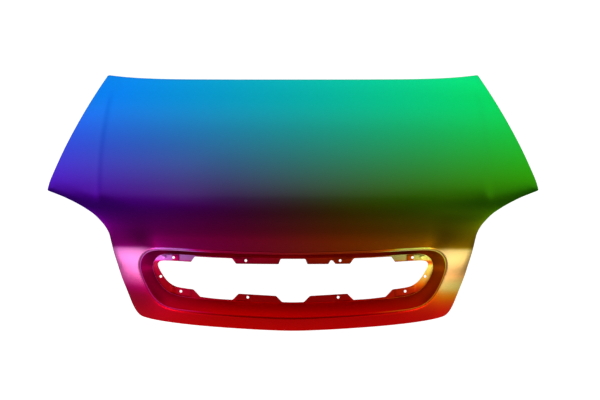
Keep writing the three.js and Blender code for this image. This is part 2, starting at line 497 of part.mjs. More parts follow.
// mastic pads between the skin and the bonding flanges
const PADS = [
  ["mastic_pad_rear_middle", 0, 101.8], ["mastic_pad_front_middle", 0, 192.2],
  ["mastic_pad_middle_left", 51.6, 147.6], ["mastic_pad_middle_right", -51.6, 147.6],
  ["mastic_pad_rear_left", 108, 103.8], ["mastic_pad_rear_right", -108, 103.8],
  ["mastic_pad_cross_left", 101.3, 156.2], ["mastic_pad_cross_right", -101.3, 156.2],
  ["mastic_pad_outer_left", 178, 153.3], ["mastic_pad_outer_right", -178, 153.3],
  ["mastic_pad_side_left", 168, 174.8], ["mastic_pad_side_right", -168, 174.8],
  ["mastic_pad_front_left", 112, 216.2], ["mastic_pad_front_right", -112, 216.2],
];
for (const [name, x, y] of PADS) {
  const [u, v] = lay(x, y), n = normalAt(u, v), [tu] = tangents(u, v);
  const ax = tu.clone().addScaledVector(n, -tu.dot(n)).normalize(), ay = n.clone().cross(ax);
  const low = (SKIN_T + MASTIC_GAP) * n.dot(new THREE.Vector3(0, -COS, SIN)) - 0.35; // just above the flange
  const profile = [[0, 0], [7.5, 0], [8.6, 0.6], [7.5, 1.3], [0, 1.3]].map(([a, b]) => new THREE.Vector2(a, b));
  add(name, new THREE.LatheGeometry(profile, 10), mastic, basis(ax, n, ay.negate(), P(u, v).addScaledVector(n, -low)));
}

export default bonnet;
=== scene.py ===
import math

import bpy
import numpy as np
from mathutils import Matrix, Vector
from mathutils.geometry import delaunay_2d_cdt


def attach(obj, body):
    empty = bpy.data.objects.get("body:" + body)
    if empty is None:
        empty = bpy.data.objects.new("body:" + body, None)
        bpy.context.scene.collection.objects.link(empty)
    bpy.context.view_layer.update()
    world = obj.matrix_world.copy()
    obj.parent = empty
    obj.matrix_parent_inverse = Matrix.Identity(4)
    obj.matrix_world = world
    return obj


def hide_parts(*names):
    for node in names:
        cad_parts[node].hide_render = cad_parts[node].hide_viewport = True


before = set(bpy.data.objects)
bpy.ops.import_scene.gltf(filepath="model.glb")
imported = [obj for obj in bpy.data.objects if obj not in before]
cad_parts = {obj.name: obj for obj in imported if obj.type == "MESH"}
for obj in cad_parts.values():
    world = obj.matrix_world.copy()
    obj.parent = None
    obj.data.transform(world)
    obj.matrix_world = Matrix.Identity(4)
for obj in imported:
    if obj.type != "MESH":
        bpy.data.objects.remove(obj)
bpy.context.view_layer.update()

# ---------------------------------------------------------------- layout, the same as the part's own (mm)
SCALE, MID_Y, EYE, TILT = 2.95, 200.0, 4800.0, math.radians(36)
SIN, COS = math.sin(TILT), math.cos(TILT)
SHIFT = np.array([0.0, 392.91562592391193, 88.02440386458113])
SKIN_T, FRAME_T, HEM_R, HEM_W, HEM_LAND, HEM_GAP = 0.8, 0.7, 1.5, 13.0, 16.0, 0.35
RECESS, CHANNEL, MASTIC_GAP = 45.0, 28.0, 3.0
PAD_X, PAD_SIZE, PAD_HOLES, BOLT_R = 468.0, (92.0, 50.0), (-27.0, 27.0), 4.5

SLOPE = [(-400, 70.5), (-345, 69.5), (-250, 66.5), (-175, 62), (-130, 56.5), (-90, 49), (-50, 41), (-10, 34),
         (40, 29), (100, 25.5), (200, 22), (300, 20), (400, 18.5)]
FALL = [(-400, 296, 165), (-345, 262, 148), (-300, 236, 132), (-250, 210, 115), (-190, 184, 98), (-90, 158, 70),
        (20, 116, 40), (110, 95, 35), (230, 82, 42), (400, 72, 55)]
SWAGE = dict(drop=2.6, half=11.0, u0=578.5, bow=0.00044, v0=30.0)

OUTLINE_NOSE = [(0, 331.0), (23.5, 330.4), (50, 329.0), (86, 326.4), (115, 323.4), (135, 320.4), (146.5, 317.8), (152.5, 315.4),
                (156.2, 311.6), (159.6, 306.0), (163.2, 297.6), (166.2, 290), (171, 278), (175.6, 264), (179.4, 252), (182.4, 240),
                (184.2, 233.4), (188, 226.4), (193.2, 220.2), (199.6, 214), (212, 205.8), (227, 198), (238.2, 193.4), (245.9, 190.4)]
OUTLINE_SIDE = [(245.9, 190.4), (243.4, 181.5), (238.6, 170), (229.4, 150), (219, 130), (207.6, 110), (195.4, 90.5), (184.9, 74.9)]
OUTLINE_REAR = [(184.9, 74.9), (166, 76.9), (147, 78.1), (120, 78.9), (80, 79.2), (40, 79.3), (0, 79.3)]
GRILLE = [
    (0, 254.6, 0, 258.0, 0, 259.0), (12.6, 254.5, 12.2, 258.0, 12.4, 259.0), (15, 254.45, 14.6, 258.0, 14.4, 264.2),
    (36.5, 253.9, 35.6, 257.8, 35.5, 264.1), (58.5, 253.2, 57.2, 257.5, 57, 263.8), (62.6, 253.05, 61, 257.4, 61, 258.4),
    (81, 252.25, 79, 256.7, 79, 257.7), (101.5, 251.3, 98.3, 255.5, 98.3, 256.6), (105.5, 251.05, 101.8, 255.2, 102, 261.9),
    (120.5, 250.3, 114.5, 254.3, 113.2, 261.2), (133, 249.9, 125, 253.9, 122, 260.7), (141.5, 250.3, 131.9, 254.4, 129.4, 260.5),
    (147.6, 252.6, 136.8, 257.2, 133.4, 261.3), (151.7, 257, 139.4, 261.4, 135.2, 263.6), (153.5, 263, 140.4, 266.4, 134.6, 267),
    (152.9, 270, 139.5, 271.8, 132.4, 271.2), (150.5, 277.4, 137, 277.5, 129.6, 275.9), (147, 285.6, 133.3, 283.7, 126.2, 280.4),
    (142.7, 293.8, 128, 289.5, 121.6, 284.4), (137, 301, 121.8, 293.5, 115.6, 287), (129.6, 306.1, 114.5, 295.9, 108.2, 288.3),
    (119.5, 309.2, 106, 297.1, 99.6, 289.4), (108.5, 310.8, 97, 298.2, 92.6, 296.8), (88, 312.9, 77.5, 299.8, 77, 298.8),
    (69.5, 314.2, 61, 301.0, 60.6, 299.8), (63, 314.7, 55, 301.4, 54.4, 293.7), (41, 316, 35.9, 302.3, 35.5, 294.8),
    (19.5, 317, 17, 302.9, 16.9, 295.9), (12.6, 317.2, 10.9, 303.1, 10.8, 302.1), (0, 317.4, 0, 303.3, 0, 302.4)]
HOLES = [(47.2, 260.6, 4.0), (119.5, 257.5, 4.0), (132.2, 276.4, 4.0), (112.2, 291.3, 4.0), (45.2, 297.3, 4.0)]
NOTCH = [(35.4, 264.1), (37.6, 260.4), (39.6, 260.4), (42.4, 264.0)]
CUTS = [([(-62, 104), (62, 104), (37, 190), (-37, 190)], 17, False),
        ([(90, 106), (126, 106), (126, 150), (76, 158)], 13, True),
        ([(152, 123), (189, 121), (203, 152), (152, 150)], 12, True),
        ([(70, 184), (130, 176), (204, 178), (188, 195), (163, 213), (62, 215)], 12, True)]


# ---------------------------------------------------------------- curves
def spline(x, y):
    """Natural cubic spline, as a function of an array."""
    x, y = np.asarray(x, float), np.asarray(y, float)
    n = len(x)
    h = np.diff(x)
    a = np.zeros((n, n))
    b = np.zeros(n)
    a[0, 0] = a[-1, -1] = 1
    for i in range(1, n - 1):
        a[i, i - 1], a[i, i], a[i, i + 1] = h[i - 1], 2 * (h[i - 1] + h[i]), h[i]
        b[i] = 6 * ((y[i + 1] - y[i]) / h[i] - (y[i] - y[i - 1]) / h[i - 1])
    m = np.linalg.solve(a, b)

    def f(t):
        t = np.asarray(t, float)
        i = np.clip(np.searchsorted(x, t) - 1, 0, n - 2)
        hh = h[i]
        p, q = (x[i + 1] - t) / hh, (t - x[i]) / hh
        return p * y[i] + q * y[i + 1] + ((p ** 3 - p) * m[i] + (q ** 3 - q) * m[i + 1]) * hh * hh / 6

    return f


def smooth(a, b, t):
    s = np.clip((np.asarray(t, float) - a) / (b - a), 0, 1)
    return s * s * (3 - 2 * s)


slope = spline([k[0] for k in SLOPE], [k[1] for k in SLOPE])
fall2 = spline([k[0] for k in FALL], [k[1] for k in FALL])
fall4 = spline([k[0] for k in FALL], [k[2] for k in FALL])
_v = -420 + 5.0 * np.arange(169)
_g = lambda v: -1 / np.tan(TILT + np.radians(slope(v)))
_h = np.concatenate([[0], np.cumsum(5 / 6 * (_g(_v[:-1]) + 4 * _g(_v[:-1] + 2.5) + _g(_v[:-1] + 5)))])
centre = spline(_v, _h)
CENTRE_0 = float(centre(-120.0))


def height(u, v):
    q = (u / 700) ** 2
    line = SWAGE["u0"] - SWAGE["bow"] * (v - SWAGE["v0"]) ** 2
    fade = smooth(-25, 45, v) * (1 - smooth(300, 352, v))
    step = SWAGE["drop"] * fade * smooth(-SWAGE["half"], SWAGE["half"], np.abs(u) - line)
    return centre(v) - CENTRE_0 - fall2(v) * q - fall4(v) * q * q - step


def P(uv, depth=0.0):
    """Layout points (n, 2) carried along their sight lines to depth below the outer surface."""
    u, v = uv[..., 0], uv[..., 1]
    h = height(u, v) - depth
    k = 1 - h / EYE
    return np.stack([u * k, v * k * SIN - h * COS, v * k * COS + h * SIN], -1) - SHIFT


def unit(a):
    return a / np.maximum(np.linalg.norm(a, axis=-1, keepdims=True), 1e-12)


def normal_at(uv):
    du, dv = np.array([1.0, 0]), np.array([0, 1.0])
    return unit(np.cross(P(uv + du) - P(uv - du), P(uv + dv) - P(uv - dv)))


def lay(pts):
    p = np.asarray(pts, float)
    return np.stack([p[..., 0] * SCALE, (MID_Y - p[..., 1]) * SCALE], -1)


def catmull(pts, closed=False, per=24):
    """Centripetal Catmull-Rom curve through points, densely sampled."""
    p = np.asarray(pts, float)
    if closed:
        p = np.concatenate([p[-1:], p, p[:2]])
    else:
        p = np.concatenate([2 * p[:1] - p[1:2], p, 2 * p[-1:] - p[-2:-1]])
    out = []
    for i in range(1, len(p) - 2):
        p0, p1, p2, p3 = p[i - 1:i + 3]
        d0, d1, d2 = [max(np.linalg.norm(b - a) ** 0.5, 1e-4) for a, b in ((p0, p1), (p1, p2), (p2, p3))]
        t1 = ((p1 - p0) / d0 - (p2 - p0) / (d0 + d1) + (p2 - p1) / d1) * d1
        t2 = ((p2 - p1) / d1 - (p3 - p1) / (d1 + d2) + (p3 - p2) / d2) * d1
        s = np.arange(per)[:, None] / per
        out.append(p1 * (2 * s ** 3 - 3 * s ** 2 + 1) + p2 * (3 * s ** 2 - 2 * s ** 3) + t1 * (s ** 3 - 2 * s ** 2 + s) + t2 * (s ** 3 - s ** 2))
    if not closed:
        out.append(p[-2:-1])
    return np.concatenate(out)


def arc(p, closed=False):
    q = np.concatenate([p, p[:1]]) if closed else p
    return np.concatenate([[0], np.cumsum(np.linalg.norm(np.diff(q, axis=0), axis=1))])


def resample(p, n, closed=False):
    s = arc(p, closed)
    q = np.concatenate([p, p[:1]]) if closed else p
    t = np.linspace(0, s[-1], n + 1)[:n] if closed else np.linspace(0, s[-1], n)
    return np.stack([np.interp(t, s, q[:, k]) for k in range(q.shape[1])], -1)


def blur(p, sigma, closed=True):
    """Gaussian smoothing of a closed loop, in samples."""
    r = int(3 * sigma) + 1
    w = np.exp(-0.5 * (np.arange(-r, r + 1) / sigma) ** 2)
    w /= w.sum()
    q = np.concatenate([p[-r:], p, p[:r]])
    return np.stack([np.convolve(q[:, k], w, "valid") for k in range(p.shape[1])], -1)


def mirrored(loop):
    return loop[::-1] * np.array([-1.0, 1.0])


def area(p):
    q = np.roll(p, -1, 0)
    return float(np.sum(p[:, 0] * q[:, 1] - q[:, 0] * p[:, 1]) / 2)


def offset(loop, d):
    """Closed loop moved inwards by d, for gentle loops."""
    t = unit(np.roll(loop, -1, 0) - np.roll(loop, 1, 0))
    return loop + np.stack([-t[:, 1], t[:, 0]], -1) * d * (1 if area(loop) > 0 else -1)


def rounded_polygon(pts, r, step=6.0, arcs=6):
    """Closed polygon with each corner rounded; r is one trim or one for each corner."""
    pts = np.asarray(pts, float)
    m = len(pts)
    rr = np.full(m, float(r)) if np.isscalar(r) else np.asarray(r, float)
    ends = []
    for i in range(m):
        p, a, b = pts[i], pts[i - 1], pts[(i + 1) % m]
        la, lb = np.linalg.norm(a - p), np.linalg.norm(b - p)
        c = min(rr[i], la * 0.48, lb * 0.48)
        ends.append((p + (a - p) / la * c, p, p + (b - p) / lb * c))
    out = []
    for i in range(m):
        s, p, e = ends[i]
        n = max(2, min(arcs, int(np.linalg.norm(e - s) / 0.8)))
        for k in range(n + 1):
            t = k / n
            out.append((1 - t) ** 2 * s + 2 * t * (1 - t) * p + t * t * e)
        nxt = ends[(i + 1) % m][0]
        parts = max(1, int(round(np.linalg.norm(nxt - e) / step)))
        for k in range(1, parts):
            out.append(e + (nxt - e) * k / parts)
    return np.array(out)


def circle(x, y, r, n):
    a = np.arange(n) * 2 * math.pi / n
    return np.stack([x + r * np.cos(a), y + r * np.sin(a)], -1)


def inside(p, loop):
    x, y = p[:, 0], p[:, 1]
    c = np.zeros(len(p), bool)
    a, b = loop, np.roll(loop, -1, 0)
    for (x0, y0), (x1, y1) in zip(a, b):
        if y0 == y1:
            continue
        c ^= ((y0 > y) != (y1 > y)) & (x < (x1 - x0) * (y - y0) / (y1 - y0) + x0)
    return c


def clear_of(p, loop):
    a, b = loop, np.roll(loop, -1, 0)
    d = np.full(len(p), 1e9)
    for p0, p1 in zip(a, b):
        e = p1 - p0
        t = np.clip(((p - p0) @ e) / max(e @ e, 1e-9), 0, 1)
        d = np.minimum(d, np.linalg.norm(p - p0 - t[:, None] * e, axis=1))
    return d


# ---------------------------------------------------------------- sheets
class Sheet:
    def __init__(self):
        self.v, self.f, self.n = [], [], 0
        self.kind, self.kinds = 0, []  # finish number of the faces that are being added, and of each face

    def ring(self, pts):
        s = self.n
        self.v.append(np.asarray(pts, float))
        self.n += len(pts)
        return s, len(pts)

    def strip(self, a, b):
        for i in range(a[1]):
            j = (i + 1) % a[1]
            self.f.append((a[0] + i, a[0] + j, b[0] + j, b[0] + i))
            self.kinds.append(self.kind)

    def rings(self, stack, kinds=None):
        r = [self.ring(p) for p in stack]
        for k, (a, b) in enumerate(zip(r, r[1:])):
            self.kind = kinds[k] if kinds else 0
            self.strip(a, b)
        self.kind = 0
        return r

    def region(self, loops, rings, grid, lift):
        """Fills between the first loop and the others (holes), through grid points, in 2-D; lift places the grid points."""
        pts = np.concatenate([*loops, grid]) if len(grid) else np.concatenate(loops)
        edges, base = [], 0
        for l in loops:
            edges += [(base + i, base + (i + 1) % len(l)) for i in range(len(l))]
            base += len(l)
        out, _, faces, ids, _, _ = delaunay_2d_cdt([Vector(p) for p in pts], edges, [], 0, 1e-5, True)
        out = np.array([tuple(p) for p in out])
        first = self.n
        if len(grid):
            self.ring(lift(grid))
        where = []
        for r in rings:
            where += list(range(r[0], r[0] + r[1]))
        where += list(range(first, first + len(grid)))
        index = np.array([where[i[0]] if i else -1 for i in ids])
        f = np.array([list(t) for t in faces if len(t) == 3])
        mid = out[f].mean(1)
        keep = inside(mid, loops[0])
        for l in loops[1:]:
            keep &= ~inside(mid, l)
        for t, q in zip(index[f[keep]], out[f[keep]]):
            if (t < 0).any():
                continue
            turn = (q[1][0] - q[0][0]) * (q[2][1] - q[0][1]) - (q[1][1] - q[0][1]) * (q[2][0] - q[0][0])
            if abs(turn) > 1e-7:
                self.f.append(tuple(t) if turn > 0 else tuple(t[::-1]))
                self.kinds.append(self.kind)

    def build(self, name, thick, materials):
        """The closed sheet as an object in metres, smooth on both faces and sharp along its cut edges."""
        v = np.concatenate(self.v)
        fn = np.zeros_like(v)
        corners = []
        for f in self.f:
            q = v[list(f)]
            corners.append(q)
        for f, q in zip(self.f, corners):
            m = len(f)
            for k in range(m):
                a, b = q[(k + 1) % m] - q[k], q[k - 1] - q[k]
                c = np.cross(a, b)
                l = np.linalg.norm(c)
                if l > 1e-12:
                    fn[f[k]] += c / l * math.atan2(l, float(a @ b))
        n = unit(fn)
        back = v - n * thick
        N = len(v)
        faces = [tuple(f) for f in self.f] + [tuple(i + N for i in reversed(f)) for f in self.f]
        half = {}
        for f, kind in zip(self.f, self.kinds):
            for k in range(len(f)):
                half[(f[k], f[(k + 1) % len(f)])] = kind
        cut = [e for e in half if e[::-1] not in half]
        walls = [(a, a + N, b + N, b) for a, b in cut]
        kinds = self.kinds * 2 + [half[e] for e in cut]
        allv = np.concatenate([v, back]) * 0.001
        mesh = bpy.data.meshes.new(name)
        mesh.from_pydata(allv.tolist(), [], faces + walls)
        mesh.update()
        for m in materials:
            mesh.materials.append(m)
        mesh.polygons.foreach_set("material_index", kinds)
        loop_n = np.zeros((len(mesh.loops), 3))
        vn = np.concatenate([n, -n])
        li = np.zeros(len(mesh.loops), int)
        mesh.loops.foreach_get("vertex_index", li)
        loop_n[:] = vn[li]
        nf = len(faces)
        for p in mesh.polygons[nf:]:
            for i in p.loop_indices:
                loop_n[i] = p.normal
        mesh.polygons.foreach_set("use_smooth", np.ones(len(mesh.polygons), bool))
        mesh.normals_split_custom_set(loop_n.tolist())
        obj = bpy.data.objects.new(name, mesh)
        bpy.context.collection.objects.link(obj)
        return obj


def filleted(ctrl, trims, n=5):
    """Rings through control rings, with the corner at each inner one rounded by its trim."""
    out = [ctrl[0]]
    for k in range(1, len(ctrl) - 1):
        a, b, c, r = ctrl[k - 1], ctrl[k], ctrl[k + 1], trims[k - 1]
        if r <= 0:
            out.append(b)
            continue
        la, lc = np.linalg.norm(a - b, axis=1, keepdims=True), np.linalg.norm(c - b, axis=1, keepdims=True)
        t = np.minimum(r, 0.48 * np.minimum(la, lc))
        s, e = b + (a - b) / la * t, b + (c - b) / lc * t
        for i in range(n + 1):
            q = i / n
            out.append((1 - q) ** 2 * s + 2 * q * (1 - q) * b + q * q * e)
    out.append(ctrl[-1])
    return out


def hex_grid(lo, hi, pitch):
    rows = []
    for i, y in enumerate(np.arange(lo[1], hi[1], pitch * 0.866)):
        x = np.arange(lo[0], hi[0], pitch) + (pitch / 2 if i % 2 else 0)
        rows.append(np.stack([x, np.full(len(x), y)], -1))
    return np.concatenate(rows)


# ---------------------------------------------------------------- outline, with offsets that stay clean at the corners
EDGE_STEP = 6.5
_nose = lay(OUTLINE_NOSE)
_nose = catmull(np.concatenate([mirrored(_nose)[:-1], _nose]))
_side, _rear = catmull(lay(OUTLINE_SIDE)), lay(OUTLINE_REAR)
_rear = catmull(np.concatenate([_rear[:-1], mirrored(_rear)]))
SIDES = [_nose, _side, _rear, mirrored(_side)]  # counter-clockwise, each from corner to corner


def outline_at(d):
    """The closed outline moved inwards by d: every station keeps its number on each offset."""
    out = []
    m = len(SIDES)
    for i, c in enumerate(SIDES):
        s = arc(c)
        L = s[-1]
        n = int(round(L / EDGE_STEP))
        # stations, closer together at the corners
        t = np.linspace(0, 1, n + 1)[:n]
        t = t - 0.6 * np.sin(2 * math.pi * t) / (2 * math.pi) * (1.0 if L < 900 else 0.6)
        st = t * L
        prev, nxt = SIDES[i - 1], SIDES[(i + 1) % m]
        end = lambda a, b: math.acos(np.clip(float(unit(a) @ unit(b)), -1, 1))
        th0 = end(prev[-8] - prev[-1], c[7] - c[0])
        th1 = end(c[-8] - c[-1], nxt[7] - nxt[0])
        c0, c1 = d / math.tan(th0 / 2), d / math.tan(th1 / 2)
        w = 90.0
        sp = st + c0 * np.clip(1 - st / w, 0, 1) ** 2 - c1 * np.clip(1 - (L - st) / w, 0, 1) ** 2
        x = np.stack([np.interp(sp, s, c[:, 0]), np.interp(sp, s, c[:, 1])], -1)
        a = np.stack([np.interp(np.clip(sp + 6, 0, L), s, c[:, 0]), np.interp(np.clip(sp + 6, 0, L), s, c[:, 1])], -1)
        b = np.stack([np.interp(np.clip(sp - 6, 0, L), s, c[:, 0]), np.interp(np.clip(sp - 6, 0, L), s, c[:, 1])], -1)
        tan = unit(a - b)
        out.append(x + np.stack([-tan[:, 1], tan[:, 0]], -1) * d)
    return np.concatenate(out)


edge2 = outline_at(0.0)
# the corners themselves are turned on a small radius
_corner, _k = [], 0
for c in SIDES:
    _corner.append(_k)
    _k += int(round(arc(c)[-1] / EDGE_STEP))
_e = edge2.copy()
for c in _corner:
    for j in range(-3, 4):
        i = (c + j) % len(edge2)
        _e[i] = 0.25 * edge2[i - 1] + 0.5 * edge2[i] + 0.25 * edge2[(i + 1) % len(edge2)]
for c in _corner:
    mid = outline_at(3.0)[c]
    _e[c] = 0.62 * edge2[c] + 0.38 * mid
edge2 = _e
land2 = outline_at(HEM_LAND)
p_edge, n_edge, p_land = P(edge2), normal_at(edge2), P(land2)
inn = p_land - p_edge
inn -= n_edge * np.sum(inn * n_edge, 1, keepdims=True)
mitre = np.linalg.norm(inn, axis=1, keepdims=True) / HEM_LAND
inn = unit(inn)


def on_land(a, b):
    """A point a mm in from the edge, on the line from the fold to the land, and b mm along the normal."""
    fold = p_edge + inn * HEM_R * mitre
    return fold + (p_land - fold) * ((a - HEM_R) / (HEM_LAND - HEM_R)) + n_edge * b


# ---------------------------------------------------------------- grille loops
_rows = np.array(GRILLE[::-1])


def grille_loop(ix):
    r = lay(_rows[:, ix:ix + 2])
    return np.concatenate([r, (r[1:-1] * np.array([-1.0, 1.0]))[::-1]])


def matched(a, b, n):
    """Two smooth closed curves through matched points, with matched stations."""
    both = np.concatenate([a, b], 1)
    q = catmull(both, closed=True, per=16)
    s = arc(q[:, :2], True)
    qq = np.concatenate([q, q[:1]])
    t = np.linspace(0, s[-1], n + 1)[:n]
    r = np.stack([np.interp(t, s, qq[:, k]) for k in range(4)], -1)
    r = blur(r, 2.2)
    return r[:, :2], r[:, 2:]


rim2, foot2 = matched(grille_loop(0), grille_loop(2), 400)


def lip_loop():
    """The flange's edge: straight runs with tabs, and the notch on one side only."""
    pts = grille_loop(4).tolist()
    tab = lay([(35.5, 264.1)])[0]
    k = min(range(len(pts)), key=lambda i: abs(pts[i][0] - tab[0]) + abs(pts[i][1] - tab[1]))
    pts[k:k + 1] = lay(NOTCH)[::-1].tolist()
    pts = np.array(pts)
    a, b = pts - np.roll(pts, 1, 0), np.roll(pts, -1, 0) - pts
    turn = np.degrees(np.arccos(np.clip(np.sum(unit(a) * unit(b), 1), -1, 1)))
    trim = np.where(turn > 28, 2.4, 30.0)
    return rounded_polygon(pts, trim, step=4.0, arcs=5)


lip2 = lip_loop()
hole_xy = [(s * x * SCALE, (MID_Y - y) * SCALE, r) for x, y, r in HOLES for s in (1, -1)]

# ---------------------------------------------------------------- small forms pressed into the flange
# (centre x, centre y, half width, half height) in layout units, lift in mm towards the front
JOGGLES = [(50.0, 261.6, 9.0, 5.2, 1.5), (122.5, 258.0, 8.6, 5.0, 1.5), (49.6, 297.2, 8.4, 5.6, 1.5), (112.0, 291.6, 10.0, 5.2, 1.5)]


DIMPLES = [(128.1, 257.0)]


def flange_depth(uv):
    d = np.full(len(uv), RECESS)
    for x, y, w, h, lift in JOGGLES:
        for s in (1, -1):
            cx, cy = s * x * SCALE, (MID_Y - y) * SCALE
            a = 1 - smooth(w * SCALE - 1.6, w * SCALE + 1.6, np.abs(uv[:, 0] - cx))
            b = 1 - smooth(h * SCALE - 1.6, h * SCALE + 1.6, np.abs(uv[:, 1] - cy))
            d -= lift * a * b
    for x, y in DIMPLES:
        for s in (1, -1):
            d -= 0.9 * (1 - smooth(2.6, 4.6, np.hypot(uv[:, 0] - s * x * SCALE, uv[:, 1] - (MID_Y - y) * SCALE)))
    return d


# ---------------------------------------------------------------- outer skin
def outer_skin(materials):
    """Finishes, each with its own painted light and shade: 0 the panel, 1 the recess walls, 2 the flange, 3 the crests
    of the recess's radii, 4 their sides, 5 the panel's rim there.
    """
    s = Sheet()
    ctrl = [on_land(HEM_W, -2 * HEM_R), p_edge + n_edge * (-2 * HEM_R), p_edge, p_land]
    rings = s.rings(filleted(ctrl, [HEM_R * 1.0, HEM_R * 1.0], 4))
    # recess: surface, rim radius, drafted wall, foot radius, flange
    out2 = offset(rim2, -11.0)
    a2 = offset(rim2, -5.5)
    in2 = foot2 + unit(foot2 - rim2) * 1.6
    ctrl = [P(out2), P(a2), P(rim2 + (foot2 - rim2) * 0.06, 1.4), P(rim2 + (foot2 - rim2) * 0.90, RECESS - 5), P(foot2, RECESS), P(in2, RECESS)]
    g = s.rings(filleted(ctrl, [2.0, 4.6, 0, 4.2], 5), [0] + [5] * 6 + [4, 3, 3, 4, 4] + [1] * 2 + [4, 3, 3, 3, 4] + [2])
    lo, hi = land2.min(0), land2.max(0)
    grid = hex_grid(lo, hi, 8.5)
    keep = inside(grid, land2) & ~inside(grid, out2)
    grid = grid[keep]
    grid = grid[(clear_of(grid, land2) > 4.2) & (clear_of(grid, out2) > 4.2)]
    s.region([land2, out2], [rings[-1], g[0]], grid, P)
    # flange
    holes = [circle(x, y, r, 28) for x, y, r in hole_xy]
    grid = hex_grid(in2.min(0), in2.max(0), 2.6)
    keep = inside(grid, in2) & ~inside(grid, lip2)
    grid = grid[keep]
    keep = (clear_of(grid, in2) > 1.1) & (clear_of(grid, lip2) > 1.0)
    for x, y, r in hole_xy:
        keep &= np.hypot(grid[:, 0] - x, grid[:, 1] - y) > r + 0.8
    grid = grid[keep]
    lift = lambda uv: P(uv, flange_depth(uv))
    rl = s.ring(lift(lip2))
    rh = [s.ring(lift(h)) for h in holes]
    s.kind = 2
    s.region([in2, lip2, *holes], [g[-1], rl, *rh], grid, lift)
    s.kind = 0
    return s.build("bonnet_skin", SKIN_T, materials)


# ---------------------------------------------------------------- inner frame
def pad_frame(side):
    uv = np.array([[side * PAD_X, (MID_Y - 97.5) * SCALE]])
    n = normal_at(uv)[0]
    t = (P(uv + np.array([1.0, 0])) - P(uv - np.array([1.0, 0])))[0]
    x = unit(t - n * float(t @ n))
    y = np.cross(n, x)
    return P(uv)[0] - n * (CHANNEL * 0.98 + 3), x, y, n, uv[0]


def beam(v):
    return CHANNEL + 12 * (1 - smooth(-330, -250, v))


# beads pressed into the channel floor: (from x, y, to x, y, half width mm, depth mm), layout units, both sides
BEADS = [((73, 112), (56, 172), 5.0, 3.2), ((139, 116), (139, 142), 4.5, 3.0), ((176, 112), (205, 112), 4.0, 2.5),
         ((60, 170), (120, 163), 4.5, 3.0), ((150, 162), (196, 164), 4.5, 3.0), ((66, 230), (120, 229), 5.0, 3.0),
         ((20, 226), (48, 227), 5.0, 3.0), ((160, 240), (163, 268), 4.5, 3.0), ((20, 90), (60, 90), 5.0, 3.0), ((84, 91), (124, 91), 5.0, 3.0)]


def floor_depth(uv, rim_d):
    d = beam(uv[:, 1]) + 6 * (1 - smooth(0, 22, rim_d))
    for a, b, w, dep in BEADS:
        for s in (1, -1):
            p0, p1 = lay([a])[0] * np.array([s, 1]), lay([b])[0] * np.array([s, 1])
            e = p1 - p0
            t = np.clip(((uv - p0) @ e) / (e @ e), 0, 1)
            q = np.linalg.norm(uv - p0 - t[:, None] * e, axis=1)
            d -= dep * (1 - smooth(w * 0.35, w * 1.55, q))
    return d


